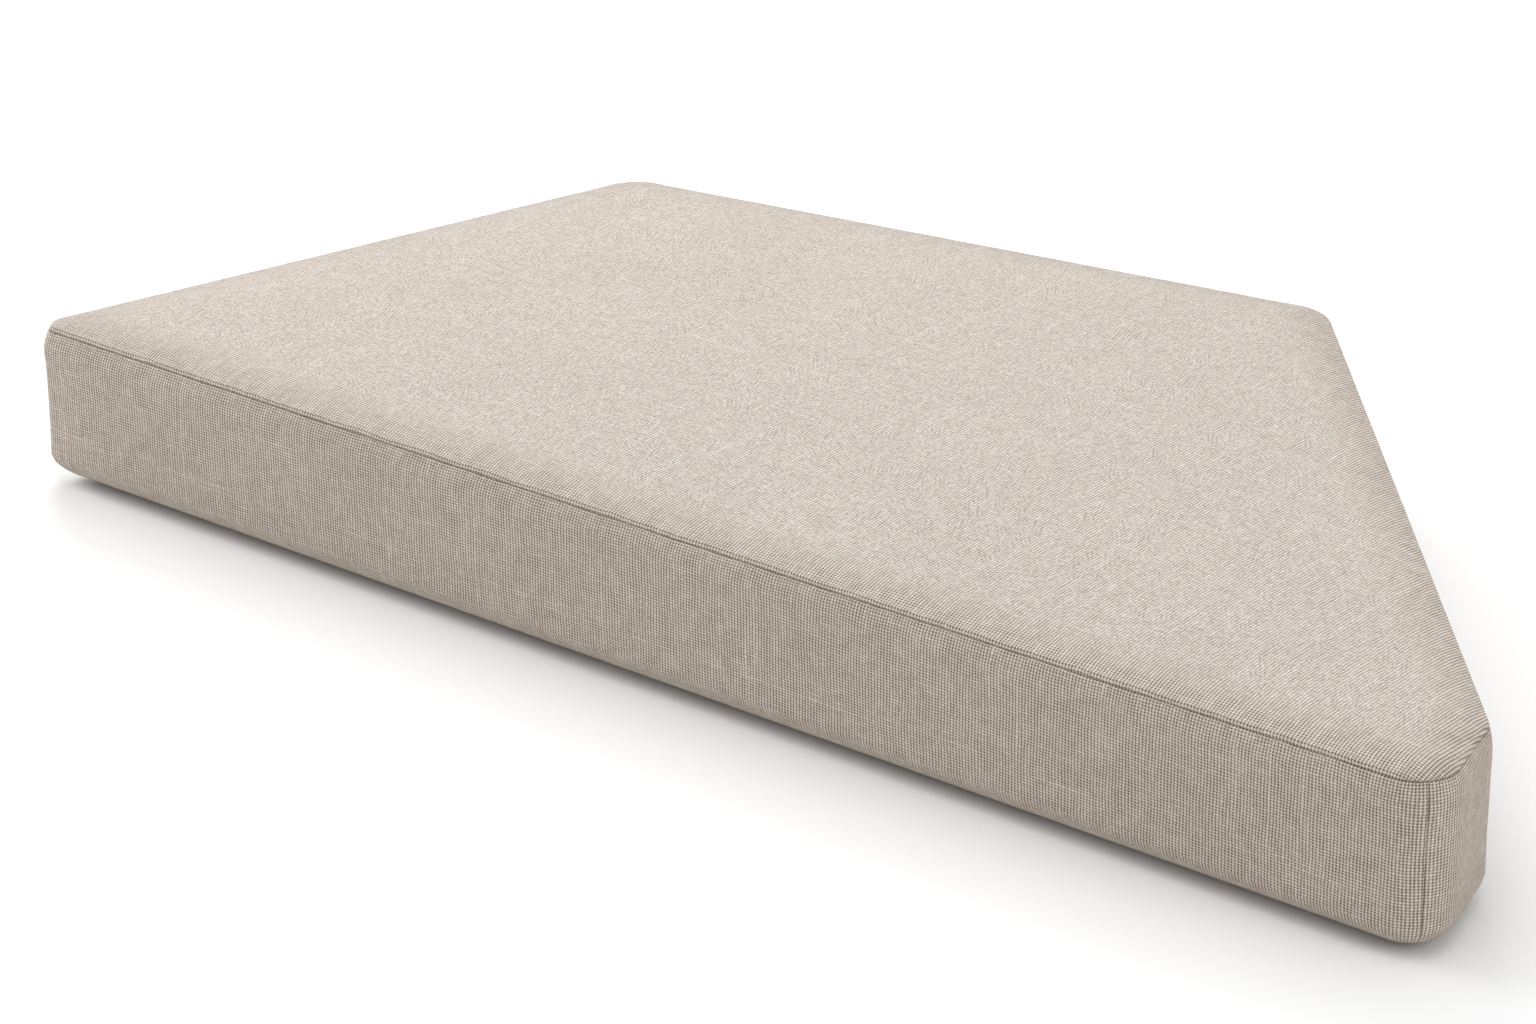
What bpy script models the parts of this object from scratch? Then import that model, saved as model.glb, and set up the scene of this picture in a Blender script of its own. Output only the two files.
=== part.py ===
"""Window seat cushion: a firm box cushion with plain sewn seams and one sharp slanted end.

Units are metres. +X runs along the front edge, +Y to the back and +Z up. The origin is under the
middle of the cushion, on the surface that it lies on.
"""
import math

import bmesh
import bpy
from mathutils import Vector

# Plan through the widest part of the sides, anticlockwise from the front left corner.
# Directions are in degrees from +X, and the left end closes the outline.
FRONT_LENGTH = 0.993
RETURN_LENGTH = 0.083
RETURN_DIRECTION = 103.5
RIGHT_END_LENGTH = 0.553
RIGHT_END_DIRECTION = 131.1
BACK_LENGTH = 0.488
BACK_DIRECTION = 189.8

# Rounding of the five corners at the widest part of the sides
FRONT_LEFT_RADIUS = 0.0105
FRONT_RIGHT_RADIUS = 0.026
RETURN_RADIUS = 0.031
BACK_RIGHT_RADIUS = 0.036
BACK_LEFT_RADIUS = 0.032
SMALLEST_RADIUS = 0.0103

# Section through the edge, from the base up
BASE_INSET = 0.032
WIDEST_FROM = 0.0186
WIDEST_TO = 0.084
SEAM_HEIGHT = 0.100
SEAM_INSET = 0.0027
ROLL_RUN = 0.032
ROLL_RISE = 0.0085
CROWN_RISE = 0.004
CROWN_CENTRE = Vector((0.47, 0.24))

# Sewn creases: how deep a seam pulls in, and half of the width that it draws in
CREASE_DEPTH = 0.002
CREASE_HALF_WIDTH = 0.0015
LOWER_SEAM_ANGLE = 45.0
LOWER_SEAM_HALF_ANGLE = 4.0
UPRIGHT_SEAM_PLACE = 0.46

# How finely each stretch is divided
ARC_SPACES = 8
SHORT_ARC_SPACES = 3
SIDE_SPACE = 0.05
LOWER_ROLL_ANGLES = (0.0, 15.0, 29.0)
SIDE_ROLL_ANGLES = (61.0, 76.0, 90.0)
SIDE_SPACES = 2
PULL_IN_STEPS = (0.0, 0.4, 0.7)
TOP_ROLL_ANGLES = (10.0, 22.0, 37.0, 53.0, 71.0, 90.0)
CROWN_SCALES = (0.88, 0.74, 0.58, 0.4, 0.2)

# Places in the list of corners
SHARP_CORNER = 1
RETURN_CORNER = 2

# Undyed linen: light warm beige, in linear colour
LINEN_COLOUR = (0.62, 0.56, 0.50, 1.0)
LINEN_ROUGHNESS = 0.92


def clear_scene():
    """Remove whatever the scene starts with."""
    for obj in list(bpy.data.objects):
        bpy.data.objects.remove(obj, do_unlink=True)


def heading(degrees):
    """Unit vector in the plan for a direction in degrees from +X."""
    return Vector((math.cos(math.radians(degrees)), math.sin(math.radians(degrees))))


def evenly(start, end, spaces):
    """Numbers from start to end in equal steps, both ends included."""
    return [start + (end - start) * i / spaces for i in range(spaces + 1)]


def plan_corners():
    """Where the straight sides would meet: the place and radius of each corner."""
    front_left = Vector((0.0, 0.0))
    front_right = front_left + heading(0.0) * FRONT_LENGTH
    end_front = front_right + heading(RETURN_DIRECTION) * RETURN_LENGTH
    back_right = end_front + heading(RIGHT_END_DIRECTION) * RIGHT_END_LENGTH
    back_left = back_right + heading(BACK_DIRECTION) * BACK_LENGTH
    return [
        (front_left, FRONT_LEFT_RADIUS),
        (front_right, FRONT_RIGHT_RADIUS),
        (end_front, RETURN_RADIUS),
        (back_right, BACK_RIGHT_RADIUS),
        (back_left, BACK_LEFT_RADIUS),
    ]


def arc_fractions(corner_number):
    """How far round its arc each point of a corner lies, from 0 to 1."""
    if corner_number == SHARP_CORNER:
        arc_length = FRONT_RIGHT_RADIUS * math.radians(RETURN_DIRECTION)
        half_width = CREASE_HALF_WIDTH / arc_length
        before = evenly(0.0, UPRIGHT_SEAM_PLACE - half_width, ARC_SPACES // 2)
        after = evenly(UPRIGHT_SEAM_PLACE + half_width, 1.0, ARC_SPACES // 2)
        return before + [UPRIGHT_SEAM_PLACE] + after
    if corner_number == RETURN_CORNER:
        return evenly(0.0, 1.0, SHORT_ARC_SPACES)
    return evenly(0.0, 1.0, ARC_SPACES)


def corner_arc(corners, number, inset):
    """Points round one corner of the plan moved inwards, each with its outward direction."""
    place, full_radius = corners[number]
    arrive = (place - corners[number - 1][0]).normalized()
    leave = (corners[(number + 1) % len(corners)][0] - place).normalized()
    turn = math.atan2(arrive.x * leave.y - arrive.y * leave.x, arrive.dot(leave))
    radius = max(full_radius - inset, SMALLEST_RADIUS)
    inward = Vector((-arrive.y - leave.y, arrive.x + leave.x)) / (1.0 + arrive.dot(leave))
    centre = place + inward * (inset + radius)
    first = math.atan2(-arrive.x, arrive.y)
    arc = []
    for fraction in arc_fractions(number):
        outward = heading(math.degrees(first + turn * fraction))
        arc.append((centre + outward * radius, outward))
    return arc


def side_spaces(corners, number):
    """How many spaces the straight side after a corner is divided into."""
    side = corners[(number + 1) % len(corners)][0] - corners[number][0]
    return max(2, round(side.length / SIDE_SPACE))


def outline(inset):
    """The whole plan moved inwards by inset, as (point, outward direction), anticlockwise."""
    corners = plan_corners()
    arcs = [corner_arc(corners, number, inset) for number in range(len(corners))]
    ring = []
    for number, arc in enumerate(arcs):
        ring += arc
        start, outward = arc[-1]
        end = arcs[(number + 1) % len(arcs)][0][0]
        spaces = side_spaces(corners, number)
        ring += [(start.lerp(end, i / spaces), outward) for i in range(1, spaces)]
    return ring


def upright_seam_index():
    """Which point of every ring lies on the upright seam."""
    before_corner = len(arc_fractions(0)) + side_spaces(plan_corners(), 0) - 1
    return before_corner + arc_fractions(SHARP_CORNER).index(UPRIGHT_SEAM_PLACE)


def lower_roll(degrees):
    """Inset and height round the bottom edge: 0 at the flat base, 90 where the sides stand up."""
    angle = math.radians(degrees)
    return BASE_INSET * (1.0 - math.sin(angle)), WIDEST_FROM * (1.0 - math.cos(angle))


def top_roll(degrees):
    """Inset and height of the top panel's edge: 0 at the seam, 90 where it meets the crown."""
    angle = math.radians(degrees)
    inset = SEAM_INSET + ROLL_RUN * (1.0 - math.cos(angle))
    return inset, SEAM_HEIGHT + ROLL_RISE * math.sin(angle)


def pull_in(step):
    """Inset and height where the side draws in to the top seam, from 0 at its start to 1."""
    return SEAM_INSET * step * step, WIDEST_TO + (SEAM_HEIGHT - WIDEST_TO) * step


def section():
    """The edge from base to crest, as rows of (inset, height, whether the side strip is there)."""
    rows = [(*lower_roll(angle), False) for angle in LOWER_ROLL_ANGLES]
    rows.append((*lower_roll(LOWER_SEAM_ANGLE - LOWER_SEAM_HALF_ANGLE), False))
    inset, height = lower_roll(LOWER_SEAM_ANGLE)
    sunk = CREASE_DEPTH * math.sqrt(0.5)
    rows.append((inset + sunk, height + sunk, False))
    rows.append((*lower_roll(LOWER_SEAM_ANGLE + LOWER_SEAM_HALF_ANGLE), True))
    rows += [(*lower_roll(angle), True) for angle in SIDE_ROLL_ANGLES]
    for height in evenly(WIDEST_FROM, WIDEST_TO, SIDE_SPACES)[1:-1]:
        rows.append((0.0, height, True))
    near_seam = 1.0 - CREASE_HALF_WIDTH / (SEAM_HEIGHT - WIDEST_TO)
    rows += [(*pull_in(step), True) for step in (*PULL_IN_STEPS, near_seam)]
    rows.append((SEAM_INSET + CREASE_DEPTH, SEAM_HEIGHT, False))
    rows += [(*top_roll(angle), False) for angle in TOP_ROLL_ANGLES]
    return rows


def side_row(inset, height, on_side):
    """One closed row of points round the edge, drawn in at the upright seam on the side strip."""
    seam = upright_seam_index()
    row = []
    for index, (point, outward) in enumerate(outline(inset)):
        if on_side and index == seam:
            point = point - outward * CREASE_DEPTH
        row.append(Vector((point.x, point.y, height)))
    return row


def crown_row(crest, scale):
    """The crest row drawn towards the middle of the top panel and lifted by the crown."""
    lift = CROWN_RISE * (1.0 - scale * scale) ** 2
    return [
        Vector((*CROWN_CENTRE.lerp(point.to_2d(), scale), point.z + lift))
        for point in crest
    ]


def middle_of_plan():
    """The middle of the box round the widest ring."""
    points = [point for point, _ in outline(0.0)]
    xs = [point.x for point in points]
    ys = [point.y for point in points]
    return Vector(((min(xs) + max(xs)) / 2.0, (min(ys) + max(ys)) / 2.0, 0.0))


def build_mesh():
    """One closed body: a flat base, the rows of the edge and a crowned top panel."""
    rows = [side_row(*row) for row in section()]
    crest = rows[-1]
    rows += [crown_row(crest, scale) for scale in CROWN_SCALES]
    summit = Vector((*CROWN_CENTRE, crest[0].z + CROWN_RISE))
    origin = middle_of_plan()

    shape = bmesh.new()
    loops = [[shape.verts.new(point - origin) for point in row] for row in rows]
    count = len(loops[0])
    shape.faces.new(list(reversed(loops[0])))
    for lower, upper in zip(loops, loops[1:]):
        for i in range(count):
            j = (i + 1) % count
            shape.faces.new((lower[i], lower[j], upper[j], upper[i]))
    peak = shape.verts.new(summit - origin)
    for i in range(count):
        shape.faces.new((loops[-1][i], loops[-1][(i + 1) % count], peak))
    bmesh.ops.recalc_face_normals(shape, faces=shape.faces)

    mesh = bpy.data.meshes.new("cushion")
    shape.to_mesh(mesh)
    shape.free()
    mesh.shade_smooth()
    mesh.set_sharp_from_angle(angle=math.radians(40.0))
    return mesh


def linen_material():
    """Light beige linen."""
    material = bpy.data.materials.new("linen")
    material.use_nodes = True
    shader = material.node_tree.nodes["Principled BSDF"]
    shader.inputs["Base Color"].default_value = LINEN_COLOUR
    shader.inputs["Roughness"].default_value = LINEN_ROUGHNESS
    shader.inputs["Metallic"].default_value = 0.0
    return material


def main():
    """Build the cushion in its own collection."""
    clear_scene()
    collection = bpy.data.collections.new("window_seat_cushion")
    bpy.context.scene.collection.children.link(collection)
    cushion = bpy.data.objects.new("cushion", build_mesh())
    cushion.data.materials.append(linen_material())
    collection.objects.link(cushion)


main()
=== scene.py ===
"""Looks of the window seat cushion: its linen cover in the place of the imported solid, on a pale
floor in soft studio light, seen from the photograph's angle. Units are metres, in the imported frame.
"""
import math
from collections import namedtuple

import bpy
from mathutils import Matrix, Vector, noise
from mathutils.bvhtree import BVHTree
from mathutils.geometry import delaunay_2d_cdt
from mathutils.interpolate import poly_3d_calc


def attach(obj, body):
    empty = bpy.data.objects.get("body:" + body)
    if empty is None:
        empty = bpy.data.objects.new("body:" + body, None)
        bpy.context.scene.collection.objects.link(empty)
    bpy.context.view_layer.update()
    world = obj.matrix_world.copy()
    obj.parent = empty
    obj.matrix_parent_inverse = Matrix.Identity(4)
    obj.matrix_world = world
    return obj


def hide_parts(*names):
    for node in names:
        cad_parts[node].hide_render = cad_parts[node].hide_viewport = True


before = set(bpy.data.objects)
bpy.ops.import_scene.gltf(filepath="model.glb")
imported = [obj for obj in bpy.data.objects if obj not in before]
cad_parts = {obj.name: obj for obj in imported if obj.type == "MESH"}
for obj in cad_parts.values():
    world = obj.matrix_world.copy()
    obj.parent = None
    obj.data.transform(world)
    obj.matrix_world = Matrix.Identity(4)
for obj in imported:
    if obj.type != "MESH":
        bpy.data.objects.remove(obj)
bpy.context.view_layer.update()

MM = 0.001

# Plan through the widest part of the sides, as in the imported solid, anticlockwise from the front
# left corner. Directions are in degrees from +X, and the left end closes the outline.
FRONT_LENGTH = 0.993
RETURN_LENGTH = 0.083
RETURN_DIRECTION = 103.5
RIGHT_END_LENGTH = 0.553
RIGHT_END_DIRECTION = 131.1
BACK_LENGTH = 0.488
BACK_DIRECTION = 189.8
CORNER_RADII = (0.0105, 0.026, 0.031, 0.036, 0.032)
SMALLEST_RADIUS = 0.0103
SHARP_CORNER = 1

# Section through the edge, from the base up
BASE_INSET = 0.032
WIDEST_FROM = 0.0186
WIDEST_TO = 0.084
SEAM_HEIGHT = 0.100
SEAM_INSET = 0.0027
ROLL_RUN = 0.032
ROLL_RISE = 0.0085
CROWN_RISE = 0.0025
CROWN_EDGE = 0.10
LOWER_SEAM_ANGLE = 45.0
UPRIGHT_SEAM_PLACE = 0.46

# How finely the cover, and the cage that it is blown up in, are divided: spaces along the straight
# sides, round the corners, between rows, in the top and base panels, and row distances at a seam
Fineness = namedtuple("Fineness", "side arc row panel base near")
NEAR_SEAM = tuple(d * MM for d in (0.0, 0.25, 0.5, 0.8, 1.2, 1.7, 2.3, 3.0, 3.8, 4.7, 5.8, 7.2, 9.0, 11.5))
COVER_FINENESS = Fineness(5.0 * MM, 2.5 * MM, 4.2 * MM, 6.0 * MM, 14.0 * MM, NEAR_SEAM)
CAGE_FINENESS = Fineness(20.0 * MM, 9.0 * MM, 9.0 * MM, 20.0 * MM, 30.0 * MM, (0.0,))
UPRIGHT_NEAR_COLUMNS = 11
UPRIGHT_CLEARANCE = 0.3
LEAST_ARC_SPACES = 4
PANEL_BORDER_SHARE = 0.6
CURVE_STEPS = 90
TINY = 1e-9

# Cloth simulation that fills the cover out between its seams
FILL_FRAMES = 20
FILL_PRESSURE = 4.0
FILL_STIFFNESS = 40.0
FILL_BENDING = 2.0
FILL_QUALITY = 6
FILL_MASS = 0.3
FILL_AIR_DAMPING = 4.0
HELD_BELOW = 1.0 * MM
FILL_SHARE = 0.16
FILL_CAP = 4.0 * MM
STRIP_START_DRAWN_IN = 0.45 * MM
CAGE_SMOOTHING = 2

# Relief of the sewn seams
CREASE_DEPTH = 0.9 * MM
CREASE_WIDTH = 0.5 * MM
RIDGE_HEIGHT = 0.55 * MM
RIDGE_PLACE = 3.3 * MM
RIDGE_WIDTH = 1.3 * MM
DIP_DEPTH = 0.12 * MM
DIP_PLACE = 5.6 * MM
DIP_WIDTH = 0.9 * MM
RIDGE_FADE_FROM = 5.0 * MM
RIDGE_FADE_TO = 38.0 * MM
PUCKER_HEIGHT = 0.14 * MM
PUCKER_LENGTH = 9.0 * MM
PUCKER_PLACE = 2.6 * MM
PUCKER_WIDTH = 2.4 * MM

# Slight unevenness of the filled panels: (height, size) of each wave
UNEVEN_WAVES = ((0.55 * MM, 130.0 * MM), (0.16 * MM, 34.0 * MM))
UNEVEN_FROM_SEAM = 22.0 * MM

# Weave: spacing of the upright and the lengthwise yarns, and how they vary
UPRIGHT_PITCH = 2.0 * MM
LENGTHWISE_PITCH = 1.7 * MM
WANDER_SIZE = 24.0 * MM
WANDER_REACH = 1.5 * MM
SLUB_YARNS = 6.0
STREAK_YARNS = 45.0
FIBRE_SIZE = 2.3 * MM
STROKE_CELL = 19.0 * MM
STROKE_PITCH = 2.4 * MM
STROKE_WIDTH = 4.0 * MM
STROKE_LENGTH = 13.0 * MM
STROKE_STRETCH = (0.42, 0.62)
RARE_STRETCH = (0.45, 0.60)
YARN_FULLNESS = (-1.0, 1.2)
WEAVE_DEPTH = 0.40 * MM
# The side strip's light yarn colour is warmer than the top's: painted warm shade on the upright sides.
STRIP_YARN_PAINTED_WARM_SHADE = (0.591, 0.539, 0.484)
TOP_LIGHT = (0.563, 0.527, 0.486)
# Painted shade: the colour of the low gaps between the yarns.
LINEN_PAINTED_GAP_SHADE = (0.145, 0.087, 0.044)
LINEN_ROUGHNESS = 0.92
LINEN_SPECULAR = 0.12
SHEEN = 0.08
SHEEN_ROUGHNESS = 0.5
SHEEN_TINT = (0.95, 0.82, 0.68, 1.0)

# Between which values of a noise its effect grows from one end to the other
NOISE_LOW = 0.3
NOISE_HIGH = 0.7

# Height of a yarn over and under the ones that it crosses: change and middle, for each set
UPRIGHT_RISE = 0.34
UPRIGHT_LEVEL = 0.66
LENGTHWISE_RISE = -0.38
LENGTHWISE_LEVEL = 0.58

# Weave height where the shade painted into a gap is darkest and where it ends, and where the flat of the top
# takes over
GAP_BOTTOM = 0.3
GAP_TOP = 0.8
FLAT_FROM = 6.0 * MM
FLAT_TO = 40.0 * MM
PANEL_FROM_SEAM = 2.0 * MM
# Where the shade painted along a seam's crease is darkest and where it ends
SEAM_LINE_FROM = 0.1 * MM
SEAM_LINE_TO = 0.6 * MM

# Shifts that keep the noises apart from each other
YARN_LANE = 7.31
STREAK_SHIFT = 31.7
LENGTHWISE_SHIFT = 400.0
WANDER_SHIFT = (3.0, 5.0)

# How much of the shade painted into the weave's gaps, and of its height, shows on the flat of the top, which
# the light from above shades less
TOP_PAINTED_GAP_SHADE = 0.75
TOP_HEIGHT = 0.6

# Heights of fibres and strokes, as parts of the weave's own depth
FIBRE_RELIEF = 0.5
STROKE_RELIEF = 0.45

# How much lighter and darker the cloth gets, as parts of its tone: along a yarn, along a streak of
# it, on a rare thick yarn, from fibre to fibre on the strip and on the top, and in other marks
SLUB_TONE = 0.03
STREAK_TONE = 0.022
RARE_TONE = 0.02
RARE_HEIGHT = 0.12
RARE_UPRIGHT = 0.04
RARE_LENGTHWISE = 0.05
STRIP_SPECK = 0.04
TOP_SPECK = 0.14
TOP_YARN_TONE = 0.5
# Painted light and shade of the strokes: their raised yarns lighter, the hollows between them darker.
STROKE_PAINTED_LIGHT_AND_SHADE = 0.11
BLOTCH_TONE = 0.01
BLOTCH_SIZE = 80.0 * MM
PATCH_SIZE = 15.0 * MM
PATCH_LEAST = 0.96
# Painted shade along the seam creases
SEAM_PAINTED_SHADE = 0.86

# Floor
FLOOR_HALF_WIDTH = 12.0
FLOOR_COLOUR = (0.80, 0.80, 0.80)
FLOOR_GAP = 0.2 * MM

# Light: the even surroundings, then each soft light's name, place, size and power
WORLD_STRENGTH = 0.691
LIGHTS = (
    ("overhead", (0.2, 0.1, 2.6), 2.4, 26.3),
    ("back_left", (-1.8, 1.6, 2.0), 1.6, 44.7),
    ("left", (-2.5, -0.8, 1.5), 1.4, 35.8),
    ("right", (2.5, -0.3, 1.5), 1.4, 13.0),
)
LIGHT_TARGET = Vector((0.0, 0.0, 0.05))

# Camera, from a perspective fit of the photographed outline and seams
CAMERA_PLACE = Vector((1.5647, -2.1100, 1.2245))
CAMERA_HEADING = 38.649
CAMERA_DOWN = 24.524
CAMERA_ROLL = -0.416
CAMERA_LENS = 114.85
SENSOR_WIDTH = 36.0

Column = namedtuple("Column", "corner fraction side along")
Row = namedtuple("Row", "inset height distance lean ridge")


# Plan and section of the cover

def heading(degrees):
    """Unit vector in the plan for a direction in degrees from +X."""
    return Vector((math.cos(math.radians(degrees)), math.sin(math.radians(degrees))))


def plan_corners():
    """Where the straight sides of the plan would meet."""
    corners = [Vector((0.0, 0.0))]
    sides = (
        (FRONT_LENGTH, 0.0),
        (RETURN_LENGTH, RETURN_DIRECTION),
        (RIGHT_END_LENGTH, RIGHT_END_DIRECTION),
        (BACK_LENGTH, BACK_DIRECTION),
    )
    for length, direction in sides:
        corners.append(corners[-1] + heading(direction) * length)
    return corners


CORNERS = plan_corners()


def corner_turn(number):
    """Direction of the side that arrives at a corner, the side that leaves and the turn between."""
    arrive = (CORNERS[number] - CORNERS[number - 1]).normalized()
    leave = (CORNERS[(number + 1) % len(CORNERS)] - CORNERS[number]).normalized()
    return arrive, leave, math.atan2(arrive.x * leave.y - arrive.y * leave.x, arrive.dot(leave))


def arc_fractions(number, fineness):
    """How far round its arc each column of a corner stands, finer at the upright seam."""
    length = CORNER_RADII[number] * corner_turn(number)[2]
    spaces = max(LEAST_ARC_SPACES, round(length / fineness.arc))
    fractions = evenly(0.0, 1.0, spaces)
    if number == SHARP_CORNER:
        near = [d / length for d in fineness.near[:UPRIGHT_NEAR_COLUMNS]]
        clear = near[-1] + UPRIGHT_CLEARANCE * fineness.arc / length
        fractions = [f for f in fractions if abs(f - UPRIGHT_SEAM_PLACE) > clear]
        fractions += [UPRIGHT_SEAM_PLACE + d for d in near]
        fractions += [UPRIGHT_SEAM_PLACE - d for d in near[1:]]
    return sorted(fractions)


def arc_point(number, fraction, inset):
    """A point on a rounded corner of the plan moved inwards, with its outward direction."""
    arrive, leave, turn = corner_turn(number)
    radius = max(CORNER_RADII[number] - inset, SMALLEST_RADIUS)
    inward = Vector((-arrive.y - leave.y, arrive.x + leave.x)) / (1.0 + arrive.dot(leave))
    centre = CORNERS[number] + inward * (inset + radius)
    outward = heading(math.degrees(math.atan2(-arrive.x, arrive.y) + turn * fraction))
    return centre + outward * radius, outward


def make_columns(fineness):
    """Every upright line of points round the cover, anticlockwise from the front left corner."""
    columns = []
    for number in range(len(CORNERS)):
        columns += [Column(number, f, None, 0.0) for f in arc_fractions(number, fineness)]
        start = arc_point(number, 1.0, 0.0)[0]
        following = (number + 1) % len(CORNERS)
        length = (arc_point(following, 0.0, 0.0)[0] - start).length
        spaces = round(length / fineness.side)
        columns += [Column(number, 1.0, i / spaces, 0.0) for i in range(1, spaces)]
    along = 0.0
    measured = []
    previous = None
    for column in columns:
        place = column_point(column, 0.0)[0]
        if previous is not None:
            along += (place - previous).length
        measured.append(column._replace(along=along))
        previous = place
    return measured


def column_point(column, inset):
    """Where a column stands on the plan moved inwards, with its outward direction."""
    if column.side is None:
        return arc_point(column.corner, column.fraction, inset)
    start, outward = arc_point(column.corner, 1.0, inset)
    end = arc_point((column.corner + 1) % len(CORNERS), 0.0, inset)[0]
    return start.lerp(end, column.side), outward


def evenly(start, end, spaces):
    """Numbers from start to end in equal steps, both ends included."""
    return [start + (end - start) * i / spaces for i in range(spaces + 1)]


def plan_middle():
    """Middle of the box round the plan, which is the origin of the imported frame."""
    points = [column_point(column, 0.0)[0] for column in make_columns(COVER_FINENESS)]
    xs = [p.x for p in points]
    ys = [p.y for p in points]
    return Vector(((min(xs) + max(xs)) / 2, (min(ys) + max(ys)) / 2))


MIDDLE = plan_middle()


def lower_roll(degrees):
    """Inset and height round the bottom edge: 0 at the flat base, 90 where the sides stand up."""
    angle = math.radians(degrees)
    return Vector((BASE_INSET * (1 - math.sin(angle)), WIDEST_FROM * (1 - math.cos(angle))))


def top_roll(degrees):
    """Inset and height of the top panel's edge: 0 at the seam, 90 where it meets the crown."""
    angle = math.radians(degrees)
    return Vector((SEAM_INSET + ROLL_RUN * (1 - math.cos(angle)), SEAM_HEIGHT + ROLL_RISE * math.sin(angle)))


def pull_in(step):
    """Inset and height where the side draws in to the top seam, from 0 at its start to 1."""
    return Vector((SEAM_INSET * step * step, WIDEST_TO + (SEAM_HEIGHT - WIDEST_TO) * step))


BASE_CURVE = [lower_roll(a) for a in evenly(LOWER_SEAM_ANGLE, 0.0, CURVE_STEPS)]
SIDE_CURVE = (
    [lower_roll(a) for a in evenly(LOWER_SEAM_ANGLE, 90.0, CURVE_STEPS)]
    + [pull_in(s) for s in evenly(0.0, 1.0, CURVE_STEPS)]
)
TOP_CURVE = [top_roll(a) for a in evenly(0.0, 90.0, CURVE_STEPS)]


def curve_length(curve):
    """Length of a section curve."""
    return sum((b - a).length for a, b in zip(curve, curve[1:]))


def walk(curve, distance):
    """The point at a distance along a section curve, and the direction there."""
    for a, b in zip(curve, curve[1:]):
        step = (b - a).length
        if distance <= step:
            return a.lerp(b, distance / step), (b - a).normalized()
        distance -= step
    return curve[-1], (curve[-1] - curve[-2]).normalized()


def stations(length, both_ends, fineness):
    """Distances from the seam for the rows of a panel's edge, close together beside a seam."""
    half = length / 2 if both_ends else length
    near = [d for d in fineness.near if d < half - fineness.row / 2]
    last = near[-1]
    far_end = length - last if both_ends else length
    spaces = max(1, round((far_end - last) / fineness.row))
    rows = near + evenly(last, far_end, spaces)[1:]
    if both_ends:
        rows += [length - d for d in reversed(near[:-1])]
    return rows


def bell(distance, place, width):
    """A smooth hump of height one."""
    return math.exp(-((distance - place) / width) ** 2)


def smooth_step(value, low, high):
    """0 up to low, 1 from high on, and smooth between."""
    share = min(max((value - low) / (high - low), 0.0), 1.0)
    return share * share * (3.0 - 2.0 * share)


def crease(distance):
    """How far a seam draws the cloth in at a distance from it, as a negative height."""
    return -CREASE_DEPTH * bell(distance, 0.0, CREASE_WIDTH)


def allowance(distance):
    """The low ridge of the folded seam allowance above the top seam, and the dip behind it."""
    ridge = RIDGE_HEIGHT * bell(distance, RIDGE_PLACE, RIDGE_WIDTH)
    return ridge - DIP_DEPTH * bell(distance, DIP_PLACE, DIP_WIDTH)


def strip_start(share):
    """How far in the side strip starts, at a share of its height, before it is filled out."""
    return STRIP_START_DRAWN_IN * math.sin(math.pi * share)


def no_allowance(_distance):
    """The side strip and the base have no ridge."""
    return 0.0


def pucker(column, distance):
    """Small swells where the thread gathers the cloth beside a seam."""
    wave = noise.noise(Vector((column.along / PUCKER_LENGTH, distance / PUCKER_LENGTH, 0.5)))
    return PUCKER_HEIGHT * wave * bell(distance, PUCKER_PLACE, PUCKER_WIDTH)


# The mesh of the cover

class Cover:
    """The closed cover while it is made: its points, and its faces with their cloth coordinates.
    relief is 1 for sewn seams and 0 for a plain shape."""

    def __init__(self, fineness, relief):
        self.fineness = fineness
        self.relief = relief
        self.columns = make_columns(fineness)
        places = [column_point(column, 0.0)[0] for column in self.columns]
        self.girth = self.columns[-1].along + (places[0] - places[-1]).length
        self.seam_column = next(
            i for i, column in enumerate(self.columns)
            if column.corner == SHARP_CORNER and abs(column.fraction - UPRIGHT_SEAM_PLACE) < TINY
        )
        self.points = []
        self.slack = []
        self.faces = []

    def add_point(self, point, from_seam):
        """A new point, with its distance from the nearest long seam."""
        self.points.append(point)
        self.slack.append(smooth_step(from_seam, 0.0, UNEVEN_FROM_SEAM))
        return len(self.points) - 1

    def add_face(self, corners):
        """corners are (point number, cloth coordinates, seam coordinates)."""
        self.faces.append(corners)

    def add_rows(self, rows, cloth, seam):
        """Faces between neighbouring rows, each a list of point numbers round the girth."""
        count = len(self.columns)
        for lower in range(len(rows) - 1):
            for i in range(count):
                j = (i + 1) % count
                ring = ((lower, i, i), (lower, j, i + 1), (lower + 1, j, i + 1), (lower + 1, i, i))
                self.add_face([(rows[r][k], cloth(r, k, turn), seam(r, k, turn)) for r, k, turn in ring])

    def from_upright_seam(self, column):
        """Distance of a column from the upright seam, the short way round."""
        apart = abs(column.along - self.columns[self.seam_column].along)
        return min(apart, self.girth - apart)

    def side_place(self, k, turn):
        """Distance round the girth from the upright seam, up to the full girth just before it."""
        if k == self.seam_column and turn == self.seam_column:
            return 0.0
        along = self.columns[turn].along if turn < len(self.columns) else self.girth
        place = along - self.columns[self.seam_column].along
        return place if place > 0.0 else place + self.girth

    def mesh(self, name):
        """The finished Blender mesh."""
        mesh = bpy.data.meshes.new(name)
        mesh.from_pydata(self.points, [], [[c[0] for c in face] for face in self.faces])
        for layer_name, place in (("cloth", 1), ("seams", 2)):
            layer = mesh.uv_layers.new(name=layer_name)
            values = [value for face in self.faces for corner in face for value in corner[place]]
            layer.uv.foreach_set("vector", values)
        mesh.shade_smooth()
        mesh.update()
        return mesh


def to_frame(plan_point, height):
    """A plan point and a height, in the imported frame."""
    return Vector((plan_point.x - MIDDLE.x, plan_point.y - MIDDLE.y, height))


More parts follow.
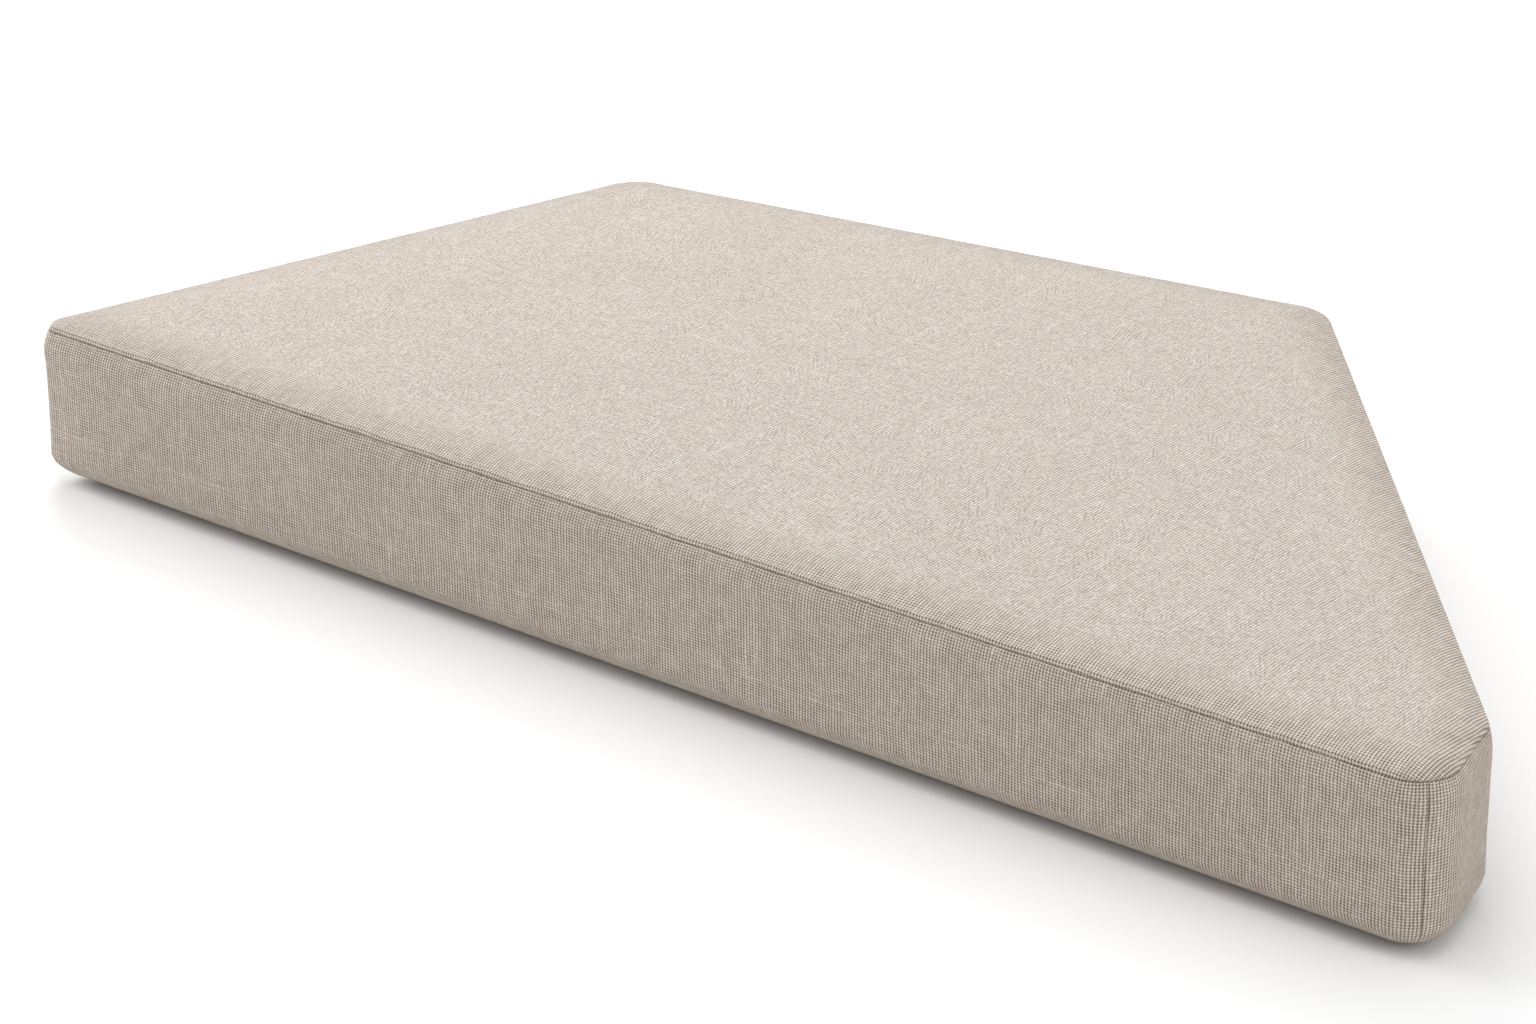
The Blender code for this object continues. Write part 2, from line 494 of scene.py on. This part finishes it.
def panel_rows(curve, distances, outward_sign, relief, ridge):
    """Rows on a section curve with its relief. A row's ridge is its height where it is whole."""
    rows = []
    for distance in distances:
        place, way = walk(curve, distance)
        lean = Vector((-way.y, way.x)) * outward_sign
        place = place + lean * relief(distance)
        rows.append(Row(place.x, place.y, distance, lean, ridge(distance)))
    return rows


def ring_points(cover, row, from_seam, on_side):
    """Point numbers of one row round the girth, the side strip drawn in at the upright seam."""
    ring = []
    for column in cover.columns:
        apart = cover.from_upright_seam(column)
        ridge = row.ridge * smooth_step(apart, RIDGE_FADE_FROM, RIDGE_FADE_TO)
        proud = cover.relief * (ridge + pucker(column, from_seam))
        place = Vector((row.inset, row.height)) + row.lean * proud
        plan_point, outward = column_point(column, place.x)
        if on_side:
            plan_point = plan_point + outward * crease(apart) * cover.relief
        ring.append(cover.add_point(to_frame(plan_point, place.y), from_seam))
    return ring


def edge_distances(point):
    """Distances of a plan point from the crest line along each straight side."""
    crest = SEAM_INSET + ROLL_RUN
    distances = []
    for number, corner in enumerate(CORNERS):
        leave = corner_turn(number)[1]
        offset = point - corner
        distances.append(leave.x * offset.y - leave.y * offset.x - crest)
    return distances


def crown(point):
    """How far the top panel stands above its crest line."""
    share = 1.0
    for distance in edge_distances(point):
        share *= math.tanh(max(distance, 0.0) / CROWN_EDGE)
    return CROWN_RISE * share


def fill_panel(cover, ring, height_of, space, upwards):
    """The flat middle of a panel: an even mesh of points inside its ring."""
    border = [cover.points[i].to_2d() for i in ring]
    low = Vector((min(p.x for p in border), min(p.y for p in border)))
    high = Vector((max(p.x for p in border), max(p.y for p in border)))
    inner = []
    row_height = space * math.sqrt(3) / 2
    for r in range(int((high.y - low.y) / row_height) + 1):
        for c in range(int((high.x - low.x) / space) + 1):
            point = low + Vector(((c + 0.5 * (r % 2)) * space, r * row_height))
            if inside_by(border, point) > space * PANEL_BORDER_SHARE:
                inner.append(point)
    count = len(border)
    edges = [(i, (i + 1) % count) for i in range(count)]
    points, _, faces, _, _, _ = delaunay_2d_cdt(border + inner, edges, [], 1, 1e-7)
    numbers = list(ring)
    for point in points[count:]:
        place = Vector((point.x, point.y, height_of(point + MIDDLE)))
        numbers.append(cover.add_point(place, UNEVEN_FROM_SEAM))
    for face in faces:
        corners = [(numbers[i], tuple(points[i]), (1.0, 1.0)) for i in face]
        cover.add_face(corners if upwards else corners[::-1])


def inside_by(border, point):
    """Distance of a point inside a convex anticlockwise border, negative outside."""
    nearest = math.inf
    for a, b in zip(border, border[1:] + border[:1]):
        side = b - a
        length = side.length
        if length > TINY:
            offset = point - a
            nearest = min(nearest, (side.x * offset.y - side.y * offset.x) / length)
    return nearest


def wrapped_cloth(cover, rows, rings, flat, flat_distance):
    """Cloth coordinates of a panel's turned edge: its flat outline carried on outwards."""
    def cloth(r, k, _turn):
        crest = cover.points[rings[flat][k]].to_2d()
        apart = cover.points[rings[r][k]].to_2d() - crest
        outward = column_point(cover.columns[k], 0.0)[1]
        out = apart.dot(outward)
        turned = (flat_distance - rows[r].distance) / max(rows[flat].inset - rows[r].inset, 1e-6)
        return tuple(crest + apart + outward * out * (turned - 1.0)) if r != flat else tuple(crest)
    return cloth


def build_cover(fineness, relief):
    """The whole cover: base panel, side strip and top panel, sharing their seam points."""
    cover = Cover(fineness, relief)
    base_length, side_length, top_length = (curve_length(c) for c in (BASE_CURVE, SIDE_CURVE, TOP_CURVE))
    base_rows = panel_rows(
        BASE_CURVE, stations(base_length, False, fineness), -1.0, lambda d: relief * crease(d), no_allowance,
    )
    side_rows = panel_rows(
        SIDE_CURVE, stations(side_length, True, fineness), 1.0,
        lambda d: relief * (crease(d) + crease(side_length - d)) - strip_start(d / side_length), no_allowance,
    )
    top_rows = panel_rows(
        TOP_CURVE, stations(top_length, False, fineness), 1.0, lambda d: relief * crease(d), allowance,
    )
    side_rings = [
        ring_points(cover, row, min(row.distance, side_length - row.distance), True) for row in side_rows
    ]
    base_rings = [side_rings[0]] + [ring_points(cover, row, row.distance, False) for row in base_rows[1:]]
    top_rings = [side_rings[-1]] + [ring_points(cover, row, row.distance, False) for row in top_rows[1:]]

    def side_cloth(r, k, turn):
        return cover.side_place(k, turn), side_rows[r].distance

    def side_seam(r, k, turn):
        return cover.side_place(k, turn), side_rows[r].distance - side_length

    def top_seam(r, k, turn):
        return cover.side_place(k, turn), top_rows[r].distance

    def base_seam(r, k, turn):
        return cover.side_place(k, turn), -side_length - base_rows[-1 - r].distance

    top_cloth = wrapped_cloth(cover, top_rows, top_rings, len(top_rows) - 1, top_length)
    base_cloth = wrapped_cloth(cover, base_rows[::-1], base_rings[::-1], 0, base_length)
    cover.add_rows(side_rings, side_cloth, side_seam)
    cover.add_rows(top_rings, top_cloth, top_seam)
    cover.add_rows(base_rings[::-1], base_cloth, base_seam)
    crest = SEAM_HEIGHT + ROLL_RISE
    fill_panel(cover, top_rings[-1], lambda p: crest + crown(p), fineness.panel, True)
    fill_panel(cover, base_rings[-1], lambda p: 0.0, fineness.base, False)
    return cover


# Filling

def finished_shape(thing):
    """Points and faces of an object with its modifiers, as they stand now."""
    graph = bpy.context.evaluated_depsgraph_get()
    mesh = thing.evaluated_get(graph).to_mesh()
    points = [vertex.co.copy() for vertex in mesh.vertices]
    faces = [tuple(face.vertices) for face in mesh.polygons]
    return points, faces


def make_cage():
    """A coarse plain copy of the cover, held at its seams and where it lies on the floor."""
    shape = build_cover(CAGE_FINENESS, 0.0)
    cage = bpy.data.objects.new("cage", shape.mesh("cage"))
    bpy.context.scene.collection.objects.link(cage)
    held = cage.vertex_groups.new(name="held")
    still = [i for i, slack in enumerate(shape.slack) if slack == 0.0 or shape.points[i].z < HELD_BELOW]
    held.add(still, 1.0, "REPLACE")
    smooth = cage.modifiers.new("smooth", "SUBSURF")
    smooth.levels = CAGE_SMOOTHING
    return cage


def blow_up(cage):
    """Runs the cloth simulation that presses the cage outwards from inside."""
    cloth = cage.modifiers.new("cloth", "CLOTH")
    cage.modifiers.move(1, 0)
    settings = cloth.settings
    settings.vertex_group_mass = "held"
    settings.quality = FILL_QUALITY
    settings.mass = FILL_MASS
    settings.tension_stiffness = FILL_STIFFNESS
    settings.compression_stiffness = FILL_STIFFNESS
    settings.shear_stiffness = FILL_STIFFNESS / 2
    settings.bending_stiffness = FILL_BENDING
    settings.air_damping = FILL_AIR_DAMPING
    settings.use_pressure = True
    settings.uniform_pressure_force = FILL_PRESSURE
    settings.effector_weights.gravity = 0.0
    cloth.collision_settings.use_collision = False
    cloth.point_cache.frame_start = 1
    cloth.point_cache.frame_end = FILL_FRAMES
    for number in range(1, FILL_FRAMES + 1):
        bpy.context.scene.frame_set(number)


def held_back(move):
    """The share of a move that the firm filling lets happen, held under the cap."""
    reach = move.length * FILL_SHARE
    if reach < TINY:
        return Vector()
    return move * (FILL_SHARE * FILL_CAP * math.tanh(reach / FILL_CAP) / reach)


def fill_out(mesh):
    """Moves the cover with a cage of cloth that is blown up between its seams."""
    cage = make_cage()
    rest, faces = finished_shape(cage)
    blow_up(cage)
    blown, _ = finished_shape(cage)
    bpy.context.scene.frame_set(1)
    bpy.data.objects.remove(cage)
    moves = [held_back(after - before) for before, after in zip(rest, blown)]
    tree = BVHTree.FromPolygons(rest, faces)
    for vertex in mesh.vertices:
        near, _, number, _ = tree.find_nearest(vertex.co)
        face = faces[number]
        shares = poly_3d_calc([rest[i] for i in face], near)
        vertex.co += sum((moves[i] * share for i, share in zip(face, shares)), Vector())
    mesh.update()


def unevenness(point):
    """Height of the soft waves of a filled panel at a point."""
    return sum(height * noise.noise(point / size) for height, size in UNEVEN_WAVES)


def make_uneven(mesh, slack):
    """Moves the panels in and out a little, but not at their seams nor where they lie on the floor."""
    normals = [vertex.normal.copy() for vertex in mesh.vertices]
    for vertex, normal, share in zip(mesh.vertices, normals, slack):
        lifted = smooth_step(vertex.co.z, 0.0, WIDEST_FROM)
        vertex.co += normal * unevenness(vertex.co) * share * lifted
    mesh.update()


# Materials

class Graph:
    """Short calls for building a node tree. An input may be a socket or a plain value."""

    def __init__(self, tree):
        self.tree = tree

    def node(self, kind, **settings):
        """A new node with its settings."""
        node = self.tree.nodes.new(kind)
        for name, value in settings.items():
            setattr(node, name, value)
        return node

    def link(self, value, socket):
        """Feeds a socket from another socket, or sets its plain value."""
        if isinstance(value, bpy.types.NodeSocket):
            self.tree.links.new(value, socket)
        else:
            socket.default_value = value

    def math(self, operation, *values, clamp=False):
        """A number worked out from one to three numbers."""
        node = self.node("ShaderNodeMath", operation=operation, use_clamp=clamp)
        for value, socket in zip(values, node.inputs):
            self.link(value, socket)
        return node.outputs[0]

    def mix(self, share, first, second):
        """first where share is 0, second where it is 1, for numbers."""
        node = self.node("ShaderNodeMix", data_type="FLOAT")
        for value, socket in zip((share, first, second), (node.inputs[0], node.inputs[2], node.inputs[3])):
            self.link(value, socket)
        return node.outputs[0]

    def blend(self, share, first, second):
        """The same for colours."""
        node = self.node("ShaderNodeMix", data_type="RGBA")
        for value, socket in zip((share, first, second), (node.inputs[0], node.inputs[6], node.inputs[7])):
            self.link(value, socket)
        return node.outputs[2]

    def scale_colour(self, colour, factor):
        """A colour made lighter or darker by a number."""
        node = self.node("ShaderNodeVectorMath", operation="SCALE")
        self.link(colour, node.inputs[0])
        self.link(factor, node.inputs["Scale"])
        return node.outputs[0]

    def split(self, vector):
        """The three numbers of a vector."""
        node = self.node("ShaderNodeSeparateXYZ")
        self.link(vector, node.inputs[0])
        return node.outputs

    def join(self, x, y):
        """A vector of two numbers."""
        node = self.node("ShaderNodeCombineXYZ")
        self.link(x, node.inputs[0])
        self.link(y, node.inputs[1])
        return node.outputs[0]

    def noise(self, vector, size, detail=0.0, roughness=0.5, lacunarity=2.0):
        """Soft noise with features of a given size, in about 0.2 to 0.8 and 0.5 in the middle."""
        node = self.node("ShaderNodeTexNoise", noise_dimensions="2D")
        self.link(vector, node.inputs["Vector"])
        node.inputs["Scale"].default_value = 1.0 / size
        node.inputs["Detail"].default_value = detail
        node.inputs["Roughness"].default_value = roughness
        node.inputs["Lacunarity"].default_value = lacunarity
        return node.outputs["Fac"]

    def chance(self, number):
        """A chance value from 0 to 1 for each whole number."""
        node = self.node("ShaderNodeTexWhiteNoise", noise_dimensions="1D")
        self.link(number, node.inputs["W"])
        return node.outputs["Value"]

    def stretch(self, value, low, high, new_low, new_high):
        """Maps low..high smoothly onto new_low..new_high and holds it there."""
        node = self.node("ShaderNodeMapRange", interpolation_type="SMOOTHSTEP")
        for number, socket in zip((value, low, high, new_low, new_high), node.inputs):
            self.link(number, socket)
        return node.outputs[0]


Yarn = namedtuple("Yarn", "wave height tone")


def wandering(graph, cloth):
    """Cloth coordinates pushed about a little, as yarns that don't run quite straight."""
    x, y, _ = graph.split(cloth)
    moved = graph.join(graph.math("ADD", x, WANDER_SHIFT[0]), graph.math("ADD", y, WANDER_SHIFT[1]))
    pushed = []
    for own, vector in ((x, cloth), (y, moved)):
        shift = graph.noise(vector, WANDER_SIZE, 1.0, 0.3, 4.0)
        pushed.append(graph.math("MULTIPLY_ADD", graph.math("SUBTRACT", shift, 0.5), WANDER_REACH, own))
    return pushed


def yarns(graph, across, along, offset, rare_share):
    """One set of yarns, numbered across; along counts the yarns that it crosses."""
    number = graph.math("FLOOR", across)
    lane = graph.math("MULTIPLY_ADD", number, YARN_LANE, offset)
    slub = graph.noise(graph.join(lane, graph.math("DIVIDE", along, SLUB_YARNS)), 1.0)
    streak_lane = graph.math("ADD", lane, STREAK_SHIFT)
    streak = graph.noise(graph.join(streak_lane, graph.math("DIVIDE", along, STREAK_YARNS)), 1.0)
    rare = graph.math("LESS_THAN", graph.chance(number), rare_share)
    thick = graph.math("MULTIPLY", rare, graph.stretch(streak, *RARE_STRETCH, 0.0, 1.0))
    wave = graph.math("SINE", graph.math("MULTIPLY", across, math.pi))
    power = graph.math("MULTIPLY_ADD", slub, *YARN_FULLNESS)
    height = graph.math("POWER", graph.math("ABSOLUTE", wave), power)
    height = graph.math("MULTIPLY_ADD", thick, RARE_HEIGHT, height)
    slub_tone = graph.stretch(slub, NOISE_LOW, NOISE_HIGH, -SLUB_TONE, SLUB_TONE)
    streak_tone = graph.stretch(streak, NOISE_LOW, NOISE_HIGH, -STREAK_TONE, STREAK_TONE)
    tone = graph.math("ADD", slub_tone, streak_tone)
    return Yarn(wave, height, graph.math("MULTIPLY_ADD", thick, RARE_TONE, tone))


def crossed_strokes(graph, cloth):
    """Short groups of raised yarns lying in many directions, -1 to 1, and 0 between the groups."""
    cells = graph.node("ShaderNodeTexVoronoi", voronoi_dimensions="2D")
    graph.link(cloth, cells.inputs["Vector"])
    cells.inputs["Scale"].default_value = 1.0 / STROKE_CELL
    angle = graph.math("MULTIPLY", graph.split(cells.outputs["Color"])[0], math.pi)
    turned = graph.node("ShaderNodeVectorRotate", rotation_type="Z_AXIS")
    graph.link(cloth, turned.inputs["Vector"])
    graph.link(cells.outputs["Position"], turned.inputs["Center"])
    graph.link(angle, turned.inputs["Angle"])
    x, y, _ = graph.split(turned.outputs[0])
    wave = graph.math("SINE", graph.math("MULTIPLY", x, 2.0 * math.pi / STROKE_PITCH))
    stretched = graph.join(graph.math("DIVIDE", x, STROKE_WIDTH), graph.math("DIVIDE", y, STROKE_LENGTH))
    runs = graph.noise(stretched, 1.0)
    return graph.math("MULTIPLY", wave, graph.stretch(runs, *STROKE_STRETCH, 0.0, 1.0))


def linen_material(name):
    """Plain-woven linen: uneven light yarns, shade painted dark into the gaps between them, softer on the
    flat of the top.
    """
    material = bpy.data.materials.new(name)
    material.use_nodes = True
    shader = material.node_tree.nodes["Principled BSDF"]
    graph = Graph(material.node_tree)
    cloth = graph.node("ShaderNodeUVMap", uv_map="cloth").outputs[0]
    seam = graph.split(graph.node("ShaderNodeUVMap", uv_map="seams").outputs[0])
    x, y = wandering(graph, cloth)
    across = graph.math("DIVIDE", x, UPRIGHT_PITCH)
    along = graph.math("DIVIDE", y, LENGTHWISE_PITCH)
    upright = yarns(graph, across, along, 0.0, RARE_UPRIGHT)
    lengthwise = yarns(graph, along, across, LENGTHWISE_SHIFT, RARE_LENGTHWISE)

    over = graph.math("MULTIPLY", upright.wave, lengthwise.wave)
    up_level = graph.math("MULTIPLY_ADD", over, UPRIGHT_RISE, UPRIGHT_LEVEL)
    side_level = graph.math("MULTIPLY_ADD", over, LENGTHWISE_RISE, LENGTHWISE_LEVEL)
    up_height = graph.math("MULTIPLY", upright.height, up_level)
    side_height = graph.math("MULTIPLY", lengthwise.height, side_level)
    height = graph.math("MAXIMUM", up_height, side_height)
    up_on_top = graph.math("GREATER_THAN", up_height, side_height)

    on_top = graph.stretch(seam[1], FLAT_FROM, FLAT_TO, 0.0, 1.0)
    fibres = graph.noise(cloth, FIBRE_SIZE, 1.0, 0.75)
    tone = graph.mix(up_on_top, lengthwise.tone, upright.tone)
    tone = graph.math("MULTIPLY", tone, graph.mix(on_top, 1.0, TOP_YARN_TONE))
    speck = graph.mix(on_top, STRIP_SPECK, TOP_SPECK)
    specks = graph.stretch(fibres, NOISE_LOW, NOISE_HIGH, -1.0, 1.0)
    tone = graph.math("MULTIPLY_ADD", specks, speck, tone)
    blotches = graph.noise(cloth, BLOTCH_SIZE)
    blotches = graph.stretch(blotches, NOISE_LOW, NOISE_HIGH, -BLOTCH_TONE, BLOTCH_TONE)
    tone = graph.math("ADD", tone, blotches)
    strokes = graph.math("MULTIPLY", crossed_strokes(graph, cloth), on_top)
    # Painted light and shade: the strokes' raised yarns are lightened and the hollows between them darkened,
    # besides their bump.
    tone = graph.math("MULTIPLY_ADD", strokes, STROKE_PAINTED_LIGHT_AND_SHADE, tone)
    # Painted shade: the cloth is darkened within about half a millimetre of each seam, in its crease.
    from_seam = graph.math("ABSOLUTE", seam[1])
    painted_seam_shade = graph.stretch(from_seam, SEAM_LINE_FROM, SEAM_LINE_TO, SEAM_PAINTED_SHADE, 1.0)
    tone = graph.math("MULTIPLY", graph.math("ADD", tone, 1.0), painted_seam_shade)

    patches = graph.stretch(graph.noise(cloth, PATCH_SIZE), NOISE_LOW, NOISE_HIGH, PATCH_LEAST, 1.0)
    # Painted shade: the weave is coloured dark where it is low between the yarns, a little less in random
    # patches, and less on the flat of the top.
    painted_gap_shade_share = graph.math("MULTIPLY", graph.mix(on_top, 1.0, TOP_PAINTED_GAP_SHADE), patches)
    painted_gap_shade = graph.math("MULTIPLY", graph.stretch(height, GAP_BOTTOM, GAP_TOP, 1.0, 0.0), painted_gap_shade_share)
    on_panel = graph.stretch(seam[1], 0.0, PANEL_FROM_SEAM, 0.0, 1.0)
    # Painted shade: the side strip gets a warmer yarn colour than the top panel.
    light = graph.blend(on_panel, (*STRIP_YARN_PAINTED_WARM_SHADE, 1.0), (*TOP_LIGHT, 1.0))
    colour = graph.blend(painted_gap_shade, light, (*LINEN_PAINTED_GAP_SHADE, 1.0))
    graph.link(graph.scale_colour(colour, tone), shader.inputs["Base Color"])

    relief = graph.math("MULTIPLY", height, graph.mix(on_top, 1.0, TOP_HEIGHT))
    relief = graph.math("MULTIPLY_ADD", fibres, FIBRE_RELIEF, relief)
    relief = graph.math("MULTIPLY_ADD", strokes, STROKE_RELIEF, relief)
    bump = graph.node("ShaderNodeBump")
    bump.inputs["Strength"].default_value = 1.0
    bump.inputs["Distance"].default_value = WEAVE_DEPTH
    graph.link(relief, bump.inputs["Height"])
    graph.link(bump.outputs[0], shader.inputs["Normal"])
    shader.inputs["Roughness"].default_value = LINEN_ROUGHNESS
    shader.inputs["Specular IOR Level"].default_value = LINEN_SPECULAR
    shader.inputs["Sheen Weight"].default_value = SHEEN
    shader.inputs["Sheen Roughness"].default_value = SHEEN_ROUGHNESS
    shader.inputs["Sheen Tint"].default_value = SHEEN_TINT
    return material


# Stage, light and camera

def plain_material(name, colour, roughness):
    """A plain material for the stage."""
    material = bpy.data.materials.new(name)
    material.use_nodes = True
    shader = material.node_tree.nodes["Principled BSDF"]
    shader.inputs["Base Color"].default_value = (*colour, 1.0)
    shader.inputs["Roughness"].default_value = roughness
    shader.inputs["Specular IOR Level"].default_value = 0.0
    return material


def add_floor():
    """A wide pale floor."""
    mesh = bpy.data.meshes.new("floor")
    half = FLOOR_HALF_WIDTH
    corners = [(-half, -half, 0.0), (half, -half, 0.0), (half, half, 0.0), (-half, half, 0.0)]
    mesh.from_pydata(corners, [], [(0, 1, 2, 3)])
    floor = bpy.data.objects.new("floor", mesh)
    floor.data.materials.append(plain_material("pale_floor", FLOOR_COLOUR, 1.0))
    bpy.context.scene.collection.objects.link(floor)
    floor.location.z = -FLOOR_GAP


def add_light(name, place, size, power):
    """A large square soft light facing the cushion."""
    data = bpy.data.lights.new(name, "AREA")
    data.shape = "SQUARE"
    data.size = size
    data.energy = power
    light = bpy.data.objects.new(name, data)
    light.location = place
    light.rotation_mode = "QUATERNION"
    light.rotation_quaternion = (LIGHT_TARGET - Vector(place)).to_track_quat("-Z", "Y")
    bpy.context.scene.collection.objects.link(light)


def add_world(strength):
    """Even white light from all round."""
    world = bpy.data.worlds.new("studio")
    world.use_nodes = True
    background = world.node_tree.nodes["Background"]
    background.inputs["Color"].default_value = (1.0, 1.0, 1.0, 1.0)
    background.inputs["Strength"].default_value = strength
    bpy.context.scene.world = world


def add_camera():
    """The camera at the photograph's angle."""
    data = bpy.data.cameras.new("camera")
    data.sensor_width = SENSOR_WIDTH
    data.lens = CAMERA_LENS
    data.clip_end = 50.0
    camera = bpy.data.objects.new("camera", data)
    turn = Matrix.Rotation(math.radians(CAMERA_HEADING), 4, "Z")
    tilt = Matrix.Rotation(math.radians(90.0 - CAMERA_DOWN), 4, "X")
    roll = Matrix.Rotation(math.radians(CAMERA_ROLL), 4, "Z")
    camera.matrix_world = Matrix.Translation(CAMERA_PLACE) @ turn @ tilt @ roll
    bpy.context.scene.collection.objects.link(camera)
    bpy.context.scene.camera = camera


def main():
    """Build the cover, dress it and set the stage."""
    add_camera()
    add_floor()
    add_world(WORLD_STRENGTH)
    for name, place, size, power in LIGHTS:
        add_light(name, place, size, power)
    bpy.context.scene.view_settings.view_transform = "Standard"

    shape = build_cover(COVER_FINENESS, 1.0)
    mesh = shape.mesh("cushion_cover")
    fill_out(mesh)
    make_uneven(mesh, shape.slack)
    cover = bpy.data.objects.new("cushion_cover", mesh)
    bpy.context.scene.collection.objects.link(cover)
    cover.data.materials.append(linen_material("linen"))
    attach(cover, "root")
    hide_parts("cushion")


main()
